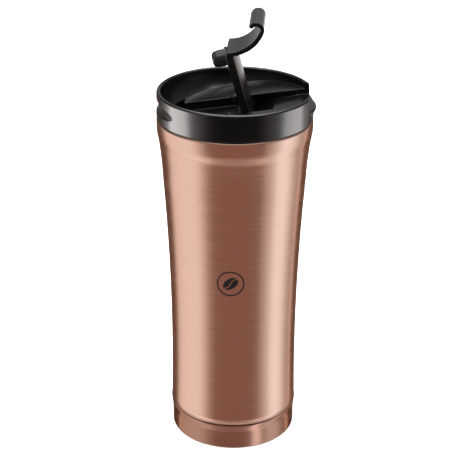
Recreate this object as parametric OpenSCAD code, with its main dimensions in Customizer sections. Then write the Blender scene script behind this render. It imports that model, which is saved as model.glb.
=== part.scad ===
// Insulated tumbler with a screw lid and a flip lever that closes the drinking hole.
// +Z is up and z = 0 is the surface it stands on. +X runs along the lever's channel,
// from the drinking side (-X) to the rim notch (+X). The lever stands open at rest.

/* [Vessel] */
// height of the steel vessel, without the lid
shell_h = 190; // [120:1:260]
// outside radius of the shell where the lid meets it
top_r = 42.7; // [30:0.1:60]
// outside radius at the waist
waist_r = 35.65; // [25:0.05:50]
// height of the waist
waist_z = 52; // [30:1:80]
// height over which the shoulder flares out
flare_h = 28; // [15:1:40]
// steel wall
wall_t = 0.5; // [0.4:0.1:1]
// gap between the two walls
vac_gap = 3.2; // [2:0.1:6]
// height of the base cup
base_h = 15.6; // [8:0.1:25]

/* [Lid] */
// height of the rim above the shell
rim_h = 15.2; // [12:0.1:22]
// tilt of the deck, draining towards the drinking hole
deck_tilt = 8.5; // [2:0.1:12]
// depth of the threaded collar below the lid
collar_h = 18; // [10:0.5:25]
// thickness of the deck and the channel floor
deck_t = 2; // [1.2:0.1:3]
// height of the finger recess
recess_h = 8.2; // [5:0.1:10]
// depth of the finger recess
recess_d = 2.6; // [1:0.1:3]

/* [Lever] */
// width of the lever
lever_w = 27; // [18:0.5:32]
// length of the arm from the hinge to the tongue
arm_len = 36.4; // [28:0.1:40]
// thickness of the arm at its edges
arm_t = 4; // [3:0.1:6]
// how far the arm's top is crowned
crown = 1.2; // [0.4:0.1:2]
// angle of the open lever from +X
lever_deg = 105.8; // [95:0.1:130]
// thickness of the tongue
tongue_t = 2.3; // [1.5:0.1:3.5]
// radius of the tongue's sweep
tongue_r = 20.6; // [15:0.1:26]
// radius of the curl at the tongue's end
curl_r = 4.2; // [3:0.1:6]
// radius of the hinge pin
pin_r = 1.25; // [0.8:0.05:2]
// radius of the drink stopper's flange
stop_r = 5.5; // [4:0.1:7]
// length of the drink stopper below the arm
stop_len = 8.8; // [6:0.1:11]

/* [Hidden] */
$fn = 96;
run = 0.05;            // hinge pin running clearance
fit = 0.05;            // between pieces of one body
side = 0.7;            // lever to channel wall, each side
k = top_r / 42.7;      // plan scale of the lid
flare_z = shell_h - flare_h;
flare_r = waist_r + 0.628 * (top_r - waist_r);
foot_z = base_h + 0.4;
base_r = waist_r - 0.05;
collar_r = base_r - wall_t - 0.1;
liner_in = 2 * wall_t + vac_gap;
floor_z = base_h + 1.4;
base_t = 0.8;         // flat bottom of the base cup and the end plate on it
corner_r = 12;
neck_r = top_r - 4.7;
neck_z = shell_h - 22;
// lid heights and radii
z0 = shell_h;
rim_z = z0 + rim_h;
lid_r = top_r - 0.05;
seat_z = z0 + 2;
plug_r = neck_r - 2;
bowl_r = plug_r - 0.8;
roll = 1.2;            // radius of the rounded rim
bowl_top = lid_r - 0.15 - 2 * roll;
edge_z = rim_z - roll;
bowl_dz = edge_z - seat_z;
bowl_dr = bowl_top - bowl_r;
bowl_rad = (bowl_dz * bowl_dz + bowl_dr * bowl_dr) / (2 * bowl_dr);
chan = lever_w / 2 + side;
hx = 5.7 * k;          // hinge axis
hz = z0 + 2.8;
barrel = arm_t + crown - 0.4;  // its round heel just covers the arm's crowned top
well = barrel + 0.4;
deck_z = z0 + 6.2;     // top of the raised decks at x = 0
deck_x = -28.8 * k;    // their drinking end
// channel floor: left ramp, hinge well, steep ramp, right ramp
function left_z(x) = z0 + 1.15 + x * 0.148;
ramp = [[hx - well + 0.1, left_z(hx - well)], [hx - well + 0.1, hz - well], [hx + 2.5, hz - well],
        [hx + 15.2 * k, z0 + 5.4], [36.2 * k, z0 + 8.5], [48 * k, z0 + 6.2]];
stop_u = arm_len - 4.2;
vent_u = 9.2;
vent_r = 3;
flange_t = 1.2;        // flanges of the two plugs
shut = 180 + deck_tilt - 2 - lever_deg;  // turn from rest to closed
lip_c = 14.7 * k;
lip_r = 29.2 * k;

// ---- curves ----
// outside of the shell: a shallow bow up to the shoulder, then a soft flare to the top
function bow(z) = waist_r + (flare_r - waist_r) * pow((z - waist_z) / (flare_z - waist_z), 2);
bow_m = 2 * (flare_r - waist_r) / (flare_z - waist_z) * flare_h;
function flare(t) = (2*t*t*t - 3*t*t + 1) * flare_r + (t*t*t - 2*t*t + t) * bow_m
                  + (3*t*t - 2*t*t*t) * top_r;
function shell_r(z) = z < flare_z ? bow(z) : flare(min(1, (z - flare_z) / (flare_h - 2)));
function stations(a, b, n) = [for (i = [0:n]) a + (b - a) * i / n];
function arc(c, r, a, b, n) = [for (i = [0:n]) c + r * [cos(a + (b - a) * i / n), sin(a + (b - a) * i / n)]];

// ---- vessel ----
module outer_shell() {
  color("#c58f7c") rotate_extrude() {
    zs = concat(stations(foot_z, flare_z, 22), stations(flare_z + 2, shell_h - 1.2, 12));
    n = len(zs) - 1;
    polygon(concat(
      [[collar_r - wall_t, 2 * base_t], [collar_r, 2 * base_t], [collar_r, foot_z]],
      [for (z = zs) [shell_r(z), z]],
      arc([top_r - 1.2, shell_h - 1.2], 1.2, 15, 90, 5),
      [[neck_r + 1.4, shell_h], [neck_r + 1.4, shell_h - wall_t], [top_r - 1.4, shell_h - wall_t]],
      [for (i = [n:-1:0]) [shell_r(zs[i]) - wall_t, max(zs[i], foot_z + wall_t)]],
      [[collar_r - wall_t, foot_z + wall_t]]));
  }
}

module inner_liner() {
  color("silver") rotate_extrude() {
    zs = stations(floor_z + corner_r, neck_z - 8, 18);
    n = len(zs) - 1;
    b = shell_r(floor_z + corner_r) - liner_in;
    polygon(concat(
      [[0, floor_z]],
      arc([b - corner_r, floor_z + corner_r], corner_r, -90, 0, 10),
      [for (i = [1:n]) [shell_r(zs[i]) - liner_in, zs[i]]],
      [[neck_r, neck_z], [neck_r, shell_h + wall_t], [top_r - 1.5, shell_h + wall_t],
       [top_r - 1.5, shell_h], [neck_r + wall_t, shell_h], [neck_r + wall_t, neck_z]],
      [for (i = [n:-1:1]) [shell_r(zs[i]) - liner_in + wall_t, zs[i]]],
      arc([b - corner_r, floor_z + corner_r], corner_r + wall_t, 0, -90, 10),
      [[0, floor_z - wall_t]]));
  }
}

module base_cup() {
  color("#c58f7c") rotate_extrude()
    polygon(concat(
      [[0, 0]],
      arc([base_r - 1.2, 1.2], 1.2, -90, 0, 6),
      [[base_r, base_h - 4.4], [base_r + 0.55, base_h - 1], [base_r + 0.55, base_h],
       [base_r - 0.25, base_h], [base_r - 0.25, base_h - 0.9], [base_r - wall_t, base_h - 4.2],
       [base_r - wall_t, base_t], [0, base_t]]));
}

module end_plate() {
  color("silver") rotate_extrude()
    translate([0, base_t]) polygon([[0, 1.2], [9.4, 1.2], [11.4, 0], [collar_r, 0], [collar_r, base_t],
      [12, base_t], [10, base_t + 1.2], [0, base_t + 1.2]]);
}

module getter() {
  color("dimgray") translate([20, 0, 2 * base_t]) cylinder(r = 4, h = 1.2);
}

module sealing_bead() {
  color("darkslategray") rotate_extrude()
    translate([0, base_t + 0.3]) polygon([[0, 0], [1.8, 0], [2.6, 0.5], [2.6, 0.9], [0, 0.9]]);
}

// ---- lid ----
module lid_gasket() {
  color("gray") rotate_extrude()
    polygon([[neck_r + 0.2, z0 + wall_t + fit], [top_r - 1.8, z0 + wall_t + fit],
             [top_r - 1.8, seat_z - 0.03], [neck_r + 0.2, seat_z - 0.03]]);
}

// region along Y of a closed XZ outline
module across(half) { rotate([90, 0, 0]) linear_extrude(2 * half, center = true) children(); }

module bowl(extra = 0) {
  rotate_extrude() polygon(concat(
    [[0, z0 - 12], [bowl_r, z0 - 12]],
    [for (i = [0:12]) let (z = seat_z + bowl_dz * i / 12)
      [bowl_top - bowl_rad + sqrt(bowl_rad * bowl_rad - pow(edge_z - z, 2)), z]],
    [[bowl_top, rim_z + 5], [0, rim_z + 5]]));
}

module floor_side(drop) {
  polygon(concat([[-80, z0 - 40], [-80, left_z(-80) - drop]],
    [for (p = ramp) [p[0] + (p[0] < hx ? -drop : drop / 2), p[1] - drop]],
    [[80, z0 + 6 - drop], [80, z0 - 40]]));
}

module deck_side(drop) {
  polygon([[deck_x + drop, z0 - 40], [deck_x + drop, deck_z - drop + tan(deck_tilt) * (deck_x + drop)],
           [80, deck_z - drop + tan(deck_tilt) * 80], [80, z0 - 40]]);
}

module lid_blank() {
  rotate_extrude() polygon(concat(
    [[0, z0 - 6.5], [plug_r, z0 - 6.5], [plug_r, seat_z], [top_r - 1.2, seat_z], [top_r - 1.2, z0 + 0.3],
     [lid_r - 0.3, z0 + 0.3], [lid_r, z0 + 0.7], [lid_r, z0 + rim_h * 0.6]],
    arc([lid_r - 0.15 - roll, edge_z], roll, 0, 180, 14),
    [[0, edge_z]]));
}

module lip() {
  intersection() {
    translate([lip_c, 0, 0]) rotate_extrude()
      polygon([[lip_r * 0.8, z0 + 3.8], [lip_r - 1.3, z0 + 3.8], [lip_r, z0 + 6.1], [lip_r, z0 + 6.8],
               [lip_r - 0.5, z0 + 7.4], [lip_r * 0.8, z0 + 9]]);
    translate([36 * k, -chan - 0.2, z0]) cube([20 * k, 2 * chan + 0.4, 20]);
  }
}

module pin_at(r, half) { translate([hx, 0, hz]) rotate([90, 0, 0]) cylinder(r = r, h = 2 * half, center = true); }

// position of the closed lever's stoppers on the deck
module shut_at(u) {
  translate([hx, 0, hz]) rotate([0, -(lever_deg + shut), 0]) translate([u, 0, 0]) children();
}

module seat(r) { translate([0, 0, -9.5]) cylinder(r = r, h = 10 + flange_t + fit); }

module lid_shell() {
  color("#1c1c1e") difference() {
    union() { lid_blank(); lip(); }
    // basin above the channel floor and the two raised decks
    difference() {
      bowl();
      across(80) floor_side(0);
      difference() {
        across(80) deck_side(0);
        cube([200, 2 * chan, 600], center = true);
      }
    }
    pin_at(well, chan);
    // rim notch over the lip
    across(chan + 0.2) polygon([[33 * k, rim_z + 20], [33 * k, z0 + 8], [36.2 * k, z0 + 8.5],
      [38.5 * k, z0 + 8.6], [41.2 * k, z0 + 8.2], [44 * k, z0 + 7], [60 * k, z0 + 7], [60 * k, rim_z + 20]]);
    // hollow underside
    intersection() {
      translate([0, 0, z0 - 20]) cylinder(r = bowl_r - 1, h = 60);
      across(80) floor_side(deck_t);
    }
    intersection() {
      translate([0, 0, z0 - 20]) cylinder(r = bowl_r - 2.2, h = 60);
      across(80) deck_side(deck_t);
      difference() {
        cube([200, 200, 600], center = true);
        cube([200, 2 * (chan + deck_t), 600], center = true);
        translate([hx, 0, 0]) cube([9, 2 * (chan + 6), 600], center = true);
      }
    }
    // finger recess in the band
    translate([12.25 * k, 0, z0 + 7.6]) rotate_extrude()
      translate([12.25 * k + lid_r + recess_h / 2 - recess_d, 0]) circle(r = recess_h / 2, $fn = 48);
    pin_at(pin_r + fit / 2, chan + 4.6);
    // drinking hole and vent hole, each with a shallow seat for its plug's flange
    shut_at(stop_u) { cylinder(r = stop_r - 0.3, h = 30, center = true); seat(stop_r + 0.5); }
    shut_at(vent_u) { cylinder(r = vent_r - 0.1, h = 30, center = true); seat(vent_r + 0.3); }
  }
}

module screw_collar() {
  color("#26262a") rotate_extrude()
    polygon(concat(
      [[plug_r + fit, seat_z], [plug_r + fit, seat_z - collar_h], [neck_r - 1, seat_z - collar_h],
       [neck_r - 0.6, seat_z - collar_h + 0.5]],
      [for (i = [0:2]) each [[neck_r - 0.6, seat_z - 13.5 + i * 4], [neck_r - 1.2, seat_z - 12.9 + i * 4],
        [neck_r - 1.2, seat_z - 11.5 + i * 4], [neck_r - 0.6, seat_z - 10.9 + i * 4]]],
      [[neck_r - 0.6, seat_z]]));
}

module hinge_pin() { color("lightgray") pin_at(pin_r, chan + 4.4); }

// ---- lever, drawn along its own arm: x out from the hinge, +y (up the sheet) its underside ----
module lever_frame() { translate([hx, 0, hz]) rotate([0, -lever_deg, 0]) children(); }
sweep_c = [arm_len + tongue_r - 1.4, -arm_t - 1.75];
sweep_a = 234.2;
curl_c = sweep_c + (tongue_r - 0.02 - curl_r) * [cos(sweep_a), sin(sweep_a)];

module sector(c, r, t, a, b) {
  translate(c) intersection() {
    difference() { circle(r = r); circle(r = r - t); }
    polygon(concat([[0, 0]], [for (i = [0:6]) 3 * r * [cos(a + (b - a) * i / 6), sin(a + (b - a) * i / 6)]]));
  }
}

module plug_profile(r, len, nose, hole, depth) {
  rotate_extrude() polygon(concat(
    [[hole, 0], [r, 0], [r, flange_t], [r - 0.9, flange_t], [r - 0.9, len - nose - 1]],
    arc([r - 1.1 - nose, len - nose], nose, 0, 90, 6),
    [[0, len], [0, depth], [hole, depth]]));
}

module under_arm(u) { lever_frame() translate([u, 0, 0.5]) children(); }

module lever() {
  w = lever_w / 2;
  rc = (w * w + crown * crown) / (2 * crown);
  color("#1c1c1e") difference() {
    union() {
      difference() {
        lever_frame() intersection() {
          translate([0, -w, -arm_t - crown]) cube([arm_len, 2 * w, arm_t + crown + 0.5]);
          translate([-1, 0, rc - arm_t - crown + 0.5]) rotate([0, 90, 0]) cylinder(r = rc, h = arm_len + 2, $fn = 240);
        }
        lever_frame() translate([12.6, -w + 2, -1.9]) cube([arm_len - 23, 2 * w - 4, 5]);
      }
      lever_frame() rotate([90, 0, 0]) cylinder(r = barrel, h = 2 * w, center = true);
      lever_frame() intersection() {
        across(60) union() {
          sector(sweep_c, tongue_r, tongue_t, 163.5, sweep_a);
          sector(curl_c, curl_r, tongue_t - 0.2, sweep_a - 3, sweep_a + 180);
        }
        // the tongue widens towards its end and its free corners are rounded
        rotate([0, 90, 0]) linear_extrude(200, center = true)
          polygon([[-9, -w], [9, -w], [24, -w - 2.3], [60, -w - 2.3], [60, w + 2.3], [24, w + 2.3], [9, w], [-9, w]]);
        difference() {
          cube([400, 400, 400], center = true);
          for (s = [-1, 1]) translate([curl_c[0] + 0.4, 0, curl_c[1] + 4.5]) rotate([0, 90, 0])
            linear_extrude(40) difference() {
              translate([-4, s * (w + 1.2) - 5]) square([8, 10]);
              translate([4, s * (w - 2.8)]) circle(r = 5);
              translate([-10, -w + 2.8]) square([20, 2 * w - 5.6]);
            }
        }
      }
      under_arm(stop_u) cylinder(r = 2.6, h = stop_len * 0.62);
      under_arm(vent_u) cylinder(r = 1.2, h = 2.6);
    }
    pin_at(pin_r + run, w + 1);
  }
}

module drink_stopper() {
  color("#2b2b2e") under_arm(stop_u) plug_profile(stop_r, stop_len, 2, 2.6 + fit, stop_len * 0.62 + fit);
}

module vent_plug() {
  color("#2b2b2e") under_arm(vent_u) plug_profile(vent_r, 5, 1.2, 1.2 + fit, 2.6 + fit);
}

outer_shell();
inner_liner();
base_cup();
end_plate();
getter();
sealing_bead();
lid_gasket();
lid_shell();
screw_collar();
hinge_pin();
lever();
drink_stopper();
vent_plug();
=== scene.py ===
"""Insulated tumbler with a screw lid and a flip lever.

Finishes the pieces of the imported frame, spins the outer shell and the base cup again more finely,
prints a badge, and sets the floor, the light and the camera.
"""

import math

import bpy
from mathutils import Matrix, Vector


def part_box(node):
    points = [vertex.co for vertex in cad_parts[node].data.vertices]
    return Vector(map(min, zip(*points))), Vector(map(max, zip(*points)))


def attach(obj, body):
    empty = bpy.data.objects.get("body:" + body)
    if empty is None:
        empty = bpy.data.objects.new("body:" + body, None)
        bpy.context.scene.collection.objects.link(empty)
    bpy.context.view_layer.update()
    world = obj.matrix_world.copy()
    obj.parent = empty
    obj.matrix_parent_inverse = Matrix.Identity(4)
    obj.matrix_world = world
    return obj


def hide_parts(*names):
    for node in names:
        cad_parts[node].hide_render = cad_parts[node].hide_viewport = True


bl_info = {
    "name": "Insulated Tumbler",
    "version": (1, 0, 0),
    "blender": (4, 5, 0),
    "location": "View3D > Sidebar > Tumbler",
    "description": "Builds a brushed steel tumbler with a black flip lid",
    "category": "Object",
}

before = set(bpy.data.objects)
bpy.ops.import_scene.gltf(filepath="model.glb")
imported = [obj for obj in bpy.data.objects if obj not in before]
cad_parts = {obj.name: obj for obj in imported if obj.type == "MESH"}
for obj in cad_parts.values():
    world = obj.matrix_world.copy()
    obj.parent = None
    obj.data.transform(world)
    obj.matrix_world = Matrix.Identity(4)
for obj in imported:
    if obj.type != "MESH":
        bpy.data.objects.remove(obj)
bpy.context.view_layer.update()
SHELL_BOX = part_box("outer_shell")
CUP_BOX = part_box("base_cup")
MM = 0.001
CUP_RIM = 0.5 * MM  # how far the cup's stepped rim stands out past the waist
CUP_SET_BACK = 0.05 * MM  # how far the cup's side lies behind the waist
FOOT_GAP = 0.4 * MM  # dark joint line between the cup and the shell
SEGMENTS = 256  # flat faces round a spun piece
SHARP = math.radians(35)  # edges bent more than this stay sharp


# ---------------------------------------------------------------- sizes and colours
class TumblerVesselSettings(bpy.types.PropertyGroup):
    """Sizes and colours of the steel vessel."""

    height: bpy.props.FloatProperty(
        name="Height", description="Top of the steel shell", default=SHELL_BOX[1].z, min=0,
        unit="LENGTH", precision=5)
    top_radius: bpy.props.FloatProperty(
        name="Top Radius", description="Outside radius under the lid", default=SHELL_BOX[1].x, min=0,
        unit="LENGTH", precision=5)
    waist_radius: bpy.props.FloatProperty(
        name="Waist Radius", description="Outside radius at the waist", default=CUP_BOX[1].x - CUP_RIM, min=0,
        unit="LENGTH", precision=5)
    waist_height: bpy.props.FloatProperty(
        name="Waist Height", description="Height of the waist", default=52 * MM, min=0,
        unit="LENGTH", precision=5)
    flare_height: bpy.props.FloatProperty(
        name="Flare Height", description="Height over which the shoulder opens", default=28 * MM, min=0,
        unit="LENGTH", precision=5)
    crease_depth: bpy.props.FloatProperty(
        name="Crease Depth", description="How far the crease under the lid goes in", default=0.4 * MM, min=0,
        unit="LENGTH", precision=5)
    crease_drop: bpy.props.FloatProperty(
        name="Crease Drop", description="How far the crease lies under the shell's top",
        default=13.8 * MM, min=0, unit="LENGTH", precision=5)
    wall: bpy.props.FloatProperty(
        name="Wall", description="Thickness of the steel", default=0.5 * MM, min=0,
        unit="LENGTH", precision=5)
    brush_pitch: bpy.props.FloatProperty(
        name="Brush Pitch", description="Distance between brush lines", default=0.42 * MM, min=0,
        unit="LENGTH", precision=5)
    badge_radius: bpy.props.FloatProperty(
        name="Badge Radius", description="Radius of the printed badge", default=7.6 * MM, min=0,
        unit="LENGTH", precision=5)
    badge_height: bpy.props.FloatProperty(
        name="Badge Height", description="Height of the badge's middle", default=106.5 * MM, min=0,
        unit="LENGTH", precision=5)
    rose: bpy.props.FloatVectorProperty(
        name="Rose Steel", description="Colour of the outside steel", default=(0.80, 0.53, 0.43),
        size=3, min=0, max=1, subtype="COLOR")
    # Painted shade: the base cup's rose is about half as bright as the shell's, standing in for the dimmer
    # light low on the vessel.
    rose_base_painted_shade: bpy.props.FloatVectorProperty(
        name="Rose Base Painted Shade", description="Colour of the base cup's steel", default=(0.42, 0.235, 0.18),
        size=3, min=0, max=1, subtype="COLOR")
    # Partly the steel's own edge tint and partly painted shade: this dark specular tint dims the sides where
    # the steel turns away.
    rose_edge_painted_shade: bpy.props.FloatVectorProperty(
        name="Rose Edge Painted Shade", description="Colour of the outside steel where it turns away",
        default=(0.64, 0.42, 0.34), size=3, min=0, max=1, subtype="COLOR")
    bare: bpy.props.FloatVectorProperty(
        name="Bare Steel", description="Colour of the inside steel", default=(0.66, 0.65, 0.63),
        size=3, min=0, max=1, subtype="COLOR")


class TumblerLidSettings(bpy.types.PropertyGroup):
    """Colours and finish of the lid and the lever."""

    plastic: bpy.props.FloatVectorProperty(
        name="Black Plastic", description="Colour of the lid", default=(0.0014, 0.0013, 0.0013),
        size=3, min=0, max=1, subtype="COLOR")
    silicone: bpy.props.FloatVectorProperty(
        name="Black Silicone", description="Colour of the plugs", default=(0.009, 0.0084, 0.008),
        size=3, min=0, max=1, subtype="COLOR")
    gasket: bpy.props.FloatVectorProperty(
        name="Gasket Silicone", description="Colour of the gasket", default=(0.36, 0.36, 0.35),
        size=3, min=0, max=1, subtype="COLOR")
    edge_radius: bpy.props.FloatProperty(
        name="Edge Radius", description="How softly the moulded edges are rounded", default=0.45 * MM, min=0,
        unit="LENGTH", precision=5)


class TumblerStageSettings(bpy.types.PropertyGroup):
    """Floor, light and camera."""

    floor: bpy.props.FloatVectorProperty(
        name="Floor", description="Colour of the floor", default=(0.93, 0.93, 0.93),
        size=3, min=0, max=1, subtype="COLOR")
    lens: bpy.props.FloatProperty(
        name="Lens", description="Focal length of the camera in millimetres", default=107.8, min=10,
        unit="CAMERA")
    strength: bpy.props.FloatProperty(
        name="Studio Strength", description="Brightness of the studio", default=1.0, min=0)


# ---------------------------------------------------------------- shader helpers
class Wire:
    """One output socket of a finish. Sums and products of wires and numbers add Math nodes."""

    def __init__(self, graph, socket):
        self.graph = graph
        self.socket = socket

    def _math(self, operation, first, second):
        return self.graph.add("ShaderNodeMath", {"operation": operation}, {0: first, 1: second})

    def __add__(self, other):
        return self._math("ADD", self, other)

    def __radd__(self, other):
        return self._math("ADD", other, self)

    def __sub__(self, other):
        return self._math("SUBTRACT", self, other)

    def __rsub__(self, other):
        return self._math("SUBTRACT", other, self)

    def __mul__(self, other):
        return self._math("MULTIPLY", self, other)

    def __rmul__(self, other):
        return self._math("MULTIPLY", other, self)

    def __truediv__(self, other):
        return self._math("DIVIDE", self, other)

    def __rtruediv__(self, other):
        return self._math("DIVIDE", other, self)


class Graph:
    """The nodes of one finish or of the studio's world."""

    def __init__(self, owner):
        owner.use_nodes = True
        self.tree = owner.node_tree
        self.tree.nodes.clear()

    def add(self, kind, settings=None, sockets=None, out=0):
        """Adds a node: its settings first, then its socket values or links. Returns one output."""
        node = self.tree.nodes.new(kind)
        for name, value in (settings or {}).items():
            if name == "stops":
                ramp = node.color_ramp
                while len(ramp.elements) > 1:
                    ramp.elements.remove(ramp.elements[-1])
                for i, (at, colour) in enumerate(value):
                    stop = ramp.elements[0] if i == 0 else ramp.elements.new(at)
                    stop.position = at
                    stop.color = (*colour, 1)
            else:
                setattr(node, name, value)
        for name, value in (sockets or {}).items():
            if isinstance(value, Wire):
                self.tree.links.new(value.socket, node.inputs[name])
            else:
                node.inputs[name].default_value = value
        return Wire(self, node.outputs[out]) if len(node.outputs) else None

    def place(self):
        """Position on the piece, in metres."""
        return self.add("ShaderNodeTexCoord", out="Object")

    def scaled(self, vector, factors):
        """A vector with each of its parts multiplied by its own number."""
        return self.add("ShaderNodeVectorMath", {"operation": "MULTIPLY"}, {0: vector, 1: factors})

    def parts(self, vector):
        """The x, y and z of a vector."""
        x = self.add("ShaderNodeSeparateXYZ", None, {0: vector})
        return [x] + [Wire(self, x.socket.node.outputs[i]) for i in (1, 2)]

    def noise(self, vector, scale, detail=2.0, roughness=0.5):
        return self.add("ShaderNodeTexNoise", None,
                        {"Vector": vector, "Scale": scale, "Detail": detail, "Roughness": roughness}, "Fac")

    def band(self, value, low, high):
        """0 at low and 1 at high, smooth between. Low may be the larger number."""
        return self.add("ShaderNodeMapRange", {"interpolation_type": "SMOOTHSTEP"},
                        {"Value": value, "From Min": low, "From Max": high})

    def blend(self, factor, first, second, how="MIX"):
        """Mixes two colours. A Mix node has them on its sockets 6 and 7, and the result on its output 2."""
        return self.add("ShaderNodeMix", {"data_type": "RGBA", "blend_type": how},
                        {0: factor, 6: first, 7: second}, 2)

    def around(self, turn, stops):
        """A colour that changes with the compass angle: stops in degrees, -180 to 180."""
        places = [((angle + 180) / 360, colour) for angle, colour in stops]
        return self.add("ShaderNodeValToRGB", {"stops": places}, {0: turn}, "Color")

    def bump(self, height, strength, distance, normal=None):
        links = {"Height": height, "Strength": strength, "Distance": distance}
        if normal is not None:
            links["Normal"] = normal
        return self.add("ShaderNodeBump", None, links)

    def finish(self, sockets):
        """Ends a finish with its shader."""
        shader = self.add("ShaderNodeBsdfPrincipled", None, sockets)
        self.add("ShaderNodeOutputMaterial", None, {"Surface": shader})


def shade(colour, factor):
    """A colour made darker or lighter."""
    return tuple(min(1.0, c * factor) for c in colour) + (1.0,)


def greys(stops, tint=(1, 1, 1)):
    """Stops whose brightness is one number, turned into colours."""
    return [(at, tuple(level * t for t in tint)) for at, level in stops]


def new_finish(name):
    """A material and its empty graph."""
    made = bpy.data.materials.new(name)
    return made, Graph(made)


def brushed_steel(name, colour, pitch, roughness, around_axis=True, contrast=1.0, edge=(1, 1, 1)):
    """Steel with fine lines brushed around the vessel, or turned rings on a flat plate.

    The edge tints the reflection where the steel turns away; a tint darker than the steel paints shade onto
    the sides. Two sets of lines lie over each other, one 2.3 times as fine.
    """
    made, g = new_finish(name)
    at = g.place()
    finer_by = 2.3
    if around_axis:
        fine = g.scaled(at, (34, 34, 1 / pitch))
        finer = g.scaled(at, (120, 120, finer_by / pitch))
    else:
        out = g.add("ShaderNodeVectorMath", {"operation": "LENGTH"}, {0: g.scaled(at, (1, 1, 0))}, "Value")
        turned = g.add("ShaderNodeCombineXYZ", None, {0: out * (1 / pitch)})
        fine = g.add("ShaderNodeVectorMath", {"operation": "ADD"}, {0: turned, 1: g.scaled(at, (40, 40, 40))})
        finer = g.scaled(fine, (finer_by, finer_by, finer_by))
    lines = g.noise(fine, 1, 2, 0.6) * 0.6 + g.noise(finer, 1, 1, 0.5) * 0.4
    smudge = g.noise(at, 28, 3, 0.55)
    tone = g.band(lines, 0.36, 0.64)
    g.finish({
        "Base Color": g.blend(tone, shade(colour, 1 - 0.10 * contrast), shade(colour, 1 + 0.07 * contrast)),
        "Metallic": 1.0,
        "Roughness": roughness + (tone - 0.5) * (0.10 * contrast) + (smudge - 0.5) * 0.06,
        "Anisotropic": 0.8,
        # Specular tint from the edge colour; a dark one is partly edge tint, partly painted shade on the
        # sides.
        "Specular Tint": (*edge, 1),
        "Normal": g.bump(lines, 0.25 * contrast, 0.00004),
    })
    return made


def moulded_plastic(name, colour, roughness, edge):
    """Satin black moulding: fine grain, faint handling marks, edges rounded and a little polished."""
    made, g = new_finish(name)
    at = g.place()
    grain = g.noise(at, 1500, 2, 0.5)
    handled = g.band(g.noise(at, 22, 2, 0.5), 0.40, 0.70)
    soft_edge = g.add("ShaderNodeBevel", {"samples": 8}, {"Radius": edge})
    worn = g.band(g.add("ShaderNodeNewGeometry", out="Pointiness"), 0.52, 0.60)
    g.finish({
        "Base Color": g.blend(handled, shade(colour, 1.0), shade(colour, 1.3)),
        "Roughness": roughness + handled * 0.02 + (grain - 0.5) * 0.05 - worn * 0.06,
        "IOR": 1.52,
        "Specular IOR Level": 0.6,
        "Normal": g.bump(grain, 0.06, 0.00005, soft_edge),
    })
    return made


def soft_silicone(name, colour, roughness):
    """Matt silicone with a dusty bloom."""
    made, g = new_finish(name)
    at = g.place()
    grain = g.noise(at, 900, 3, 0.6)
    bloom = g.band(g.noise(at, 140, 4, 0.6), 0.4, 0.7)
    g.finish({
        "Base Color": g.blend(bloom, shade(colour, 0.9), shade(colour, 1.35)),
        "Roughness": roughness + bloom * 0.12,
        "IOR": 1.42,
        "Normal": g.bump(grain, 0.15, 0.00006),
    })
    return made


def sintered_metal(name):
    """Matt grey pressed powder metal."""
    made, g = new_finish(name)
    at = g.place()
    grit = g.add("ShaderNodeTexVoronoi", None, {"Vector": at, "Scale": 2600}, "Distance")
    g.finish({
        "Base Color": g.blend(g.band(grit, 0.1, 0.6), (0.12, 0.12, 0.125, 1), (0.26, 0.26, 0.265, 1)),
        "Metallic": 1.0,
        "Roughness": 0.62 + grit * 0.2,
        "Normal": g.bump(grit, 0.4, 0.00008),
    })
    return made


def fused_glass(name):
    """Dark glassy bead with tiny pits."""
    made, g = new_finish(name)
    at = g.place()
    pits = g.band(g.noise(at, 1400, 2, 0.5), 0.62, 0.7)
    g.finish({
        "Base Color": g.blend(pits, (0.02, 0.025, 0.025, 1), (0.07, 0.075, 0.07, 1)),
        "Roughness": 0.08 + pits * 0.4,
        "IOR": 1.5,
        "Coat Weight": 0.5,
        "Normal": g.bump(pits, 0.3, 0.00005),
    })
    return made


def pad_print(name):
    """Thin black print that lets a little of the brushing through."""
    made, g = new_finish(name)
    at = g.place()
    lines = g.noise(g.scaled(at, (34, 34, 1900)), 1, 2, 0.6)
    specks = g.band(g.noise(at, 2200, 2, 0.5), 0.66, 0.74)
    g.finish({
        "Base Color": g.blend(specks, (0.008, 0.007, 0.007, 1), (0.03, 0.022, 0.02, 1)),
        "Roughness": 0.42 + (lines - 0.5) * 0.15,
        "Normal": g.bump(lines, 0.2, 0.00003),
    })
    return made


def coat(piece, finish):
    """Gives every material slot of a piece the one finish."""
    if not piece.material_slots:
        piece.data.materials.append(finish)
    for one in piece.material_slots:
        one.material = finish


# ---------------------------------------------------------------- mesh helpers
def link_mesh(name, points, faces):
    """A smooth piece from its points and faces."""
    mesh = bpy.data.meshes.new(name)
    mesh.from_pydata([tuple(p) for p in points], [], faces)
    mesh.validate()
    mesh.shade_smooth()
    mesh.set_sharp_from_angle(angle=SHARP)
    piece = bpy.data.objects.new(name, mesh)
    bpy.context.scene.collection.objects.link(piece)
    return piece


def spin(name, profile):
    """Turns a closed outline of (radius, height) about the axis. Points on the axis become poles."""
    points = []
    rings = []
    for r, z in profile:
        if r < 1e-7:
            rings.append([len(points)])
            points.append((0, 0, z))
        else:
            rings.append(list(range(len(points), len(points) + SEGMENTS)))
            points += [(r * math.cos(math.tau * i / SEGMENTS), r * math.sin(math.tau * i / SEGMENTS), z)
                       for i in range(SEGMENTS)]
    faces = []
    for a, b in zip(rings, rings[1:] + rings[:1]):
        if len(a) == 1 and len(b) == 1:
            continue
        for i in range(SEGMENTS):
            j = (i + 1) % SEGMENTS
            if len(a) == 1:
                faces.append((a[0], b[j], b[i]))
            elif len(b) == 1:
                faces.append((a[i], a[j], b[0]))
            else:
                faces.append((a[i], a[j], b[j], b[i]))
    return link_mesh(name, points, faces)


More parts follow.
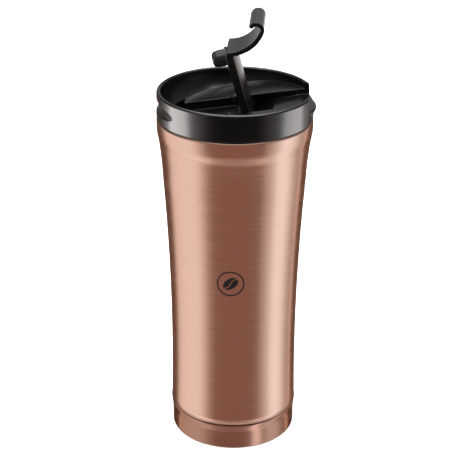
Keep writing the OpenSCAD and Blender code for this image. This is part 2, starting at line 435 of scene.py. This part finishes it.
def arc(r0, z0, radius, start, end, steps):
    """Points of a round stretch of an outline, its angles in degrees."""
    angles = [math.radians(start + (end - start) * i / steps) for i in range(steps + 1)]
    return [(r0 + radius * math.cos(a), z0 + radius * math.sin(a)) for a in angles]


def ease(t):
    """0 up to t = 0, 1 from t = 1, smooth between."""
    t = max(0.0, min(1.0, t))
    return t * t * (3 - 2 * t)


class ShellCurve:
    """The vessel's outside: a shallow bow, then a soft flare with a faint crease under the lid."""

    flare_start = 0.628  # share of the way out to the top that the bow reaches
    crease_rise = 7.5 * MM  # height over which the crease ends, above its deepest point
    crease_fade = 25 * MM  # and below it
    straight_top = 2 * MM  # plain height at the very top

    def __init__(self, s):
        self.s = s
        self.flare_z = s.height - s.flare_height
        self.flare_r = s.waist_radius + self.flare_start * (s.top_radius - s.waist_radius)
        self.slope = 2 * (self.flare_r - s.waist_radius) / (self.flare_z - s.waist_height) * s.flare_height

    def radius(self, z):
        """Outside radius at a height."""
        past = z - (self.s.height - self.s.crease_drop)
        dip = ease(past / self.crease_fade + 1) if past < 0 else 1 - ease(past / self.crease_rise)
        return self.smooth(z) - self.s.crease_depth * dip

    def smooth(self, z):
        """The radius without the crease."""
        s = self.s
        if z < self.flare_z:
            t = (z - s.waist_height) / (self.flare_z - s.waist_height)
            return s.waist_radius + (self.flare_r - s.waist_radius) * t**2
        t = min(1.0, (z - self.flare_z) / (s.flare_height - self.straight_top))
        return ((2 * t**3 - 3 * t**2 + 1) * self.flare_r + (t**3 - 2 * t**2 + t) * self.slope
                + (3 * t**2 - 2 * t**3) * s.top_radius)


def vessel_settings():
    return bpy.context.scene.tumbler_vessel


def lid_settings():
    return bpy.context.scene.tumbler_lid


# ---------------------------------------------------------------- pieces
class TUMBLER_OT_outer_shell(bpy.types.Operator):
    """Spins the outer steel shell finely and brushes it"""

    bl_idname = "tumbler.outer_shell"
    bl_label = "Outer Shell"

    def execute(self, context):
        s = vessel_settings()
        curve = ShellCurve(s)
        foot = CUP_BOX[1].z + FOOT_GAP
        top = s.height
        wall = s.wall
        lip = 1.2 * MM  # radius of the rounded top edge
        mouth = s.top_radius - 3.3 * MM  # radius of the opening in the top
        skirt = s.waist_radius - CUP_SET_BACK - wall - 0.1 * MM  # radius of the part inside the cup
        bead = ((0.0, 0.22), (0.14, 0.40), (0.18, 0.62), (0.14, 0.80), (-0.17, 1.08))  # out and up, in mm
        bead_height = 1.5 * MM
        body = [foot + bead_height + (curve.flare_z - foot) * i / 60 for i in range(60)]
        body += [curve.flare_z + (top - lip - curve.flare_z) * i / 40 for i in range(41)]
        outline = [(skirt - wall, SHELL_BOX[0].z), (skirt, SHELL_BOX[0].z), (skirt, foot)]
        outline += [(curve.radius(foot) - 0.25 * MM, foot)]
        outline += [(curve.radius(foot) + out * MM, foot + up * MM) for out, up in bead]
        outline += [(curve.radius(z), z) for z in body]
        outline += arc(s.top_radius - lip, top - lip, lip, 12, 90, 8)
        outline += [(mouth, top), (mouth, top - wall), (s.top_radius - 1.4 * MM, top - wall)]
        outline += [(curve.radius(z) - wall, max(z, foot + wall)) for z in body[::-4]]
        outline += [(skirt - wall, foot + wall)]
        shell = spin("outer_shell_spun", outline)
        coat(shell, brushed_steel("rose_brushed_steel", s.rose, s.brush_pitch, 0.17, contrast=0.55,
                                  # The dark rose edge is partly the steel's edge tint, partly painted shade
                                  # on the shell's turned-away sides.
                                  edge=s.rose_edge_painted_shade))
        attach(shell, "vessel")
        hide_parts("outer_shell")
        return {"FINISHED"}


class TUMBLER_OT_base_cup(bpy.types.Operator):
    """Spins the base cup with its stepped rim and brushes it"""

    bl_idname = "tumbler.base_cup"
    bl_label = "Base Cup"

    def execute(self, context):
        s = vessel_settings()
        top = CUP_BOX[1].z
        r = s.waist_radius - CUP_SET_BACK
        corner = 1.2 * MM  # radius of the rounded bottom edge
        floor = 0.8 * MM  # thickness of the bottom
        # Out from the side and up from the top, in mm
        rim = ((0, -4.6), (0.04, -4.2), (0.30, -2.6), (0.50, -1.3), (0.55, -0.9), (0.55, -0.2),
               (0.48, -0.05), (0.35, 0), (-0.25, 0), (-0.25, -0.9))
        outline = [(0, 0), (r - 6 * MM, 0)]
        outline += arc(r - corner, corner, corner, -90, 0, 10)
        outline += [(r + out * MM, top + up * MM) for out, up in rim]
        outline += [(r - s.wall, top - 4.2 * MM), (r - s.wall, floor), (0, floor)]
        cup = spin("base_cup_spun", outline)
        # The cup's darker base colour is painted shade for the dimmer light low on the vessel.
        coat(cup, brushed_steel("rose_brushed_base_painted_shade", s.rose_base_painted_shade, s.brush_pitch, 0.17, contrast=0.55,
                                # The dark rose edge is partly the steel's edge tint, partly painted shade on
                                # the cup's turned-away sides.
                                edge=s.rose_edge_painted_shade))
        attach(cup, "vessel")
        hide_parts("base_cup")
        return {"FINISHED"}


class TUMBLER_OT_inner_vessel(bpy.types.Operator):
    """Finishes the liner, the end plate, the getter and the sealing bead"""

    bl_idname = "tumbler.inner_vessel"
    bl_label = "Inner Vessel"

    def execute(self, context):
        bare = vessel_settings().bare
        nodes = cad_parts
        coat(nodes["inner_liner"], brushed_steel("liner_steel", bare, 0.8 * MM, 0.33, contrast=0.8))
        coat(nodes["end_plate"], brushed_steel("turned_plate", bare, 0.7 * MM, 0.38, around_axis=False))
        coat(nodes["getter"], sintered_metal("sintered_getter"))
        coat(nodes["sealing_bead"], fused_glass("fused_bead"))
        return {"FINISHED"}


class TUMBLER_OT_badge(bpy.types.Operator):
    """Prints the round badge with a coffee bean on the front of the shell"""

    bl_idname = "tumbler.badge"
    bl_label = "Printed Badge"

    def execute(self, context):
        s = vessel_settings()
        curve = ShellCurve(s)
        lift = 0.05 * MM  # thickness of the print
        points = []
        faces = []

        def on_shell(u, v):
            """A place on the steel, u across and v up from the badge's middle."""
            z = s.badge_height + v
            r = curve.radius(z) + lift
            return (r * math.sin(u / r), -r * math.cos(u / r), z)

        def patch(rows, columns, place):
            """A sheet of faces. Its place function takes two shares, 0 to 1."""
            first = len(points)
            for i in range(rows + 1):
                points.extend(on_shell(*place(i / rows, j / columns)) for j in range(columns + 1))
            for i in range(rows):
                for j in range(columns):
                    a = first + i * (columns + 1) + j
                    faces.append((a, a + 1, a + columns + 2, a + columns + 1))

        big = s.badge_radius
        line = 0.10  # width of the ring, as a share of its radius

        def ring(a, b):
            out = big * (1 - line + line * a)
            return (out * math.sin(math.tau * b), out * math.cos(math.tau * b))

        half_long = big * 0.62
        half_wide = big * 0.40
        lean = math.radians(38)
        tip = half_long * 0.995  # where the bean's ends are cut, just short of their points
        bend = half_wide * 0.26  # how far the split between its halves waves
        gap = half_wide * 0.10  # half the width of that split

        def bean(side):
            def place(a, b):
                t = -tip + 2 * tip * b
                rim = half_wide * math.sqrt(max(0.0, 1 - (t / half_long) ** 2))
                split = bend * math.sin(math.pi * t / half_long)
                near = max(-rim, min(rim, split + side * gap))
                w = near + (side * rim - near) * a
                return (t * math.cos(lean) - w * math.sin(lean), t * math.sin(lean) + w * math.cos(lean))
            return place

        patch(3, 96, ring)
        patch(6, 48, bean(1))
        patch(6, 48, bean(-1))
        badge = link_mesh("emblem_print", points, faces)
        bpy.context.view_layer.update()
        outward = sum(p.normal.y * p.area for p in badge.data.polygons)
        if outward > 0:
            badge.data.flip_normals()
        coat(badge, pad_print("black_pad_print"))
        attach(badge, "vessel")
        return {"FINISHED"}


class TUMBLER_OT_lid(bpy.types.Operator):
    """Finishes the lid shell, the threaded collar and the gasket"""

    bl_idname = "tumbler.lid"
    bl_label = "Lid"

    def execute(self, context):
        s = lid_settings()
        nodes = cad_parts
        coat(nodes["lid_shell"], moulded_plastic("satin_black_lid", s.plastic, 0.25, s.edge_radius))
        coat(nodes["screw_collar"], moulded_plastic("black_collar", s.plastic, 0.38, s.edge_radius * 0.6))
        coat(nodes["lid_gasket"], soft_silicone("gasket_silicone", s.gasket, 0.5))
        return {"FINISHED"}


class TUMBLER_OT_lever(bpy.types.Operator):
    """Finishes the lever, its two plugs and its hinge pin"""

    bl_idname = "tumbler.lever"
    bl_label = "Lever"

    def execute(self, context):
        s = lid_settings()
        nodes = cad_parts
        coat(nodes["lever"], moulded_plastic("satin_black_lever", s.plastic, 0.30, s.edge_radius * 1.7))
        rubber = soft_silicone("plug_silicone", s.silicone, 0.30)
        coat(nodes["drink_stopper"], rubber)
        coat(nodes["vent_plug"], rubber)
        coat(nodes["hinge_pin"], brushed_steel("pin_steel", vessel_settings().bare, 0.5 * MM, 0.25))
        return {"FINISHED"}


class TUMBLER_OT_stage(bpy.types.Operator):
    """Sets the pale floor, the studio light and the camera"""

    bl_idname = "tumbler.stage"
    bl_label = "Stage"

    def execute(self, context):
        s = context.scene.tumbler_stage
        self.lay_floor(s)
        self.light_room(context, s)
        self.hang_lights(context, s)
        tilt = Matrix.Rotation(math.radians(65.62), 3, "X")
        heading = Matrix.Rotation(math.radians(3.0), 3, "Z")
        roll = Matrix.Rotation(math.radians(0.29), 3, "Z")
        camera = bpy.data.cameras.new("camera")
        camera.sensor_width = 36
        camera.lens = s.lens
        camera.clip_start = 0.01
        camera.clip_end = 20
        holder = bpy.data.objects.new("camera", camera)
        turn = heading @ tilt @ roll
        holder.matrix_world = Matrix.Translation((0.03461, -0.70543, 0.44217)) @ turn.to_4x4()
        context.scene.collection.objects.link(holder)
        context.scene.camera = holder
        context.scene.view_settings.view_transform = "Standard"
        return {"FINISHED"}

    @staticmethod
    def lay_floor(s):
        """A wide matt floor with a little light of its own, so it stays pale to the horizon."""
        half = 4.0
        corners = [(-half, -half, 0), (half, -half, 0), (half, half, 0), (-half, half, 0)]
        floor = link_mesh("floor", corners, [(0, 1, 2, 3)])
        made, g = new_finish("pale_floor")
        mottle = g.noise(g.place(), 6, 3, 0.5)
        g.finish({
            "Base Color": g.blend(mottle, shade(s.floor, 0.985), shade(s.floor, 1.0)),
            "Roughness": 0.9,
            "Specular IOR Level": 0.1,
            "Emission Color": shade(s.floor, 1.0),
            "Emission Strength": 0.5,
        })
        coat(floor, made)
        floor.visible_glossy = False
        floor.visible_shadow = False

    @staticmethod
    def light_room(context, s):
        """A round room whose brightness follows the compass angle: 0 is the front, 90 the right.

        It is dark in front, with a tall soft box left and right, pale behind and overhead. A dim shelf runs
        round above the horizon, and a glow lies low on both sides of the front.
        """
        world = bpy.data.worlds.new("studio")
        context.scene.world = world
        g = Graph(world)
        x, y, z = g.parts(g.add("ShaderNodeTexCoord", out="Generated"))
        turn = g.add("ShaderNodeMath", {"operation": "ARCTAN2"}, {0: x, 1: y * -1.0}) / math.tau + 0.5
        dark = (0.05, 0.04, 0.036)
        mid = (0.18, 0.125, 0.10)
        behind = (0.50, 0.49, 0.48)
        left = (1.0, 0.985, 0.96)
        right = (1.14, 1.2, 1.25)
        slit = (1.1, 1.02, 0.98)
        ring = g.around(turn, [
            (-180, behind), (-166, behind), (-155, mid), (-129, mid), (-117, left), (-63, left),
            (-52, (0.80, 0.66, 0.58)), (-34, dark), (41, dark), (53, (0.48, 0.36, 0.31)),
            (67, (0.70, 0.66, 0.64)), (78, right), (96, right), (108, (0.76, 0.76, 0.76)),
            (120, (0.50, 0.45, 0.42)), (126, (0.46, 0.40, 0.37)), (129, slit), (132, slit),
            (137, mid), (155, mid), (166, behind), (180, behind)])
        shelf = g.around(turn, greys([
            (-180, 0.42), (-173, 0.38), (-164, 0.26), (-140, 0.18), (-60, 0.16), (0, 0.12),
            (60, 0.16), (140, 0.22), (170, 0.40), (180, 0.42)], tint=(1, 0.97, 0.95)))
        glow = g.around(turn, greys([
            (-180, 0), (-100, 0), (-62, 0.12), (-50, 0.40), (-40, 0.36), (-24, 0.19), (0, 0.14),
            (24, 0.19), (38, 0.28), (50, 0.42), (62, 0.12), (100, 0), (180, 0)]))
        # z is the sine of the elevation: the glow starts 37 degrees down, the ceiling 30 degrees up
        lifted = g.blend(g.band(z, -0.605, -0.645), ring, glow, "ADD")
        sides = g.blend(g.band(z, -0.08, 0.12), lifted, shelf)
        room = g.blend(g.band(z, 0.50, 0.88), sides, (0.70, 0.70, 0.71, 1))
        seen = g.add("ShaderNodeLightPath", out="Is Camera Ray")
        lit = g.add("ShaderNodeBackground", None, {"Color": room, "Strength": s.strength})
        white = g.add("ShaderNodeBackground", None, {"Color": (1, 1, 1, 1), "Strength": 1.0})
        both = g.add("ShaderNodeMixShader", None, {0: seen, 1: lit, 2: white})
        g.add("ShaderNodeOutputWorld", None, {"Surface": both})

    @staticmethod
    def hang_lights(context, s):
        """Soft boxes, each lighting only the pieces it names.

        The lid has one on each side and a strip high in front, and the lever one from behind. The shell and
        the cup each have a warm wall in front, and the cup three cool strips. A top box lights everything,
        and a wash the floor.
        """
        groups = {
            "black_pieces": ("lid_shell", "lever", "screw_collar", "drink_stopper", "vent_plug", "hinge_pin"),
            "shell_only": ("outer_shell_spun",),
            "cup_only": ("base_cup_spun",),
            "lever_only": ("lever",),
            "floor_only": ("floor",),
        }
        lit = {}
        for name, members in groups.items():
            lit[name] = bpy.data.collections.new(name)
            context.scene.collection.children.link(lit[name])
            for member in members:
                lit[name].objects.link(bpy.data.objects[member])
        lid_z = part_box("lid_shell")[1].z
        low = lid_z - 0.27
        wall = (0.06, -1.5, -0.35)
        lid = Vector((0, 0, lid_z))
        foot = Vector()
        cream = (1, 0.94, 0.92)
        lamps = (  # name, place, aimed at, width and depth, watts, colour, pieces lit
            ("side_box_left", (-0.62, -0.05, low), lid, (0.44, 0.5), 4.9, cream, "black_pieces"),
            ("side_box_right", (0.62, 0.06, low), lid, (0.46, 0.5), 2.9, cream, "black_pieces"),
            ("arm_panel", (0.33, 1.10, lid_z - 0.36), lid, (0.46, 0.5), 0.9, (1, 0.95, 0.94), "lever_only"),
            ("edge_strip", (0.0, -0.55, 1.15), lid, (1.5, 0.3), 10, (0.96, 0.98, 1), "black_pieces"),
            ("front_wall", wall, lid / 2, (2.3, 2.6), 4.1, (1, 0.52, 0.4), "shell_only"),
            ("cup_wall", wall, lid / 2, (2.3, 2.6), 5.8, (1, 0.60, 0.50), "cup_only"),
            ("cup_strip", (0.63, -0.55, -0.53), foot, (0.24, 0.6), 0.70, (0.86, 0.96, 1), "cup_only"),
            ("cup_strip_left", (-0.72, 0.43, -0.53), foot, (0.09, 0.6), 0.2, (0.80, 0.95, 1), "cup_only"),
            ("cup_strip_right", (0.66, 0.52, -0.53), foot, (0.09, 0.6), 0.2, (0.80, 0.95, 1), "cup_only"),
            ("top_box", (0.0, 0.25, 1.3), lid, (1.2, 1.0), 14, (1, 1, 1), None),
            ("floor_wash", (0.0, 0.0, 1.6), foot, (3.0, 3.0), 60, (1, 1, 1), "floor_only"),
        )
        for name, place, aim, size, watts, colour, only in lamps:
            lamp = bpy.data.lights.new(name, "AREA")
            lamp.shape = "RECTANGLE"
            lamp.size, lamp.size_y = size
            lamp.energy = watts * s.strength
            lamp.color = colour
            holder = bpy.data.objects.new(name, lamp)
            holder.rotation_euler = (aim - Vector(place)).to_track_quat("-Z", "Y").to_euler()
            holder.location = place
            context.scene.collection.objects.link(holder)
            if only:
                holder.light_linking.receiver_collection = lit[only]


class TUMBLER_PT_panel(bpy.types.Panel):
    """Lists the tumbler's pieces"""

    bl_idname = "TUMBLER_PT_panel"
    bl_label = "Insulated Tumbler"
    bl_space_type = "VIEW_3D"
    bl_region_type = "UI"
    bl_category = "Tumbler"

    def draw(self, context):
        scene = context.scene
        for settings in (scene.tumbler_vessel, scene.tumbler_lid, scene.tumbler_stage):
            box = self.layout.box()
            for name in settings.bl_rna.properties.keys():
                if name not in ("rna_type", "name"):
                    box.prop(settings, name)
        for operator in PIECES:
            self.layout.operator(operator.bl_idname)


SETTINGS = (TumblerVesselSettings, TumblerLidSettings, TumblerStageSettings)
PIECES = (
    TUMBLER_OT_outer_shell,
    TUMBLER_OT_base_cup,
    TUMBLER_OT_inner_vessel,
    TUMBLER_OT_badge,
    TUMBLER_OT_lid,
    TUMBLER_OT_lever,
    TUMBLER_OT_stage,
)


def register():
    for one in (*SETTINGS, *PIECES, TUMBLER_PT_panel):
        bpy.utils.register_class(one)
    bpy.types.Scene.tumbler_vessel = bpy.props.PointerProperty(type=TumblerVesselSettings)
    bpy.types.Scene.tumbler_lid = bpy.props.PointerProperty(type=TumblerLidSettings)
    bpy.types.Scene.tumbler_stage = bpy.props.PointerProperty(type=TumblerStageSettings)


def unregister():
    del bpy.types.Scene.tumbler_vessel, bpy.types.Scene.tumbler_lid, bpy.types.Scene.tumbler_stage
    for one in reversed((*SETTINGS, *PIECES, TUMBLER_PT_panel)):
        bpy.utils.unregister_class(one)


def main():
    register()
    for operator in PIECES:
        group, name = operator.bl_idname.split(".")
        getattr(getattr(bpy.ops, group), name)()
    bpy.context.view_layer.update()


if __name__ == "__main__":
    main()
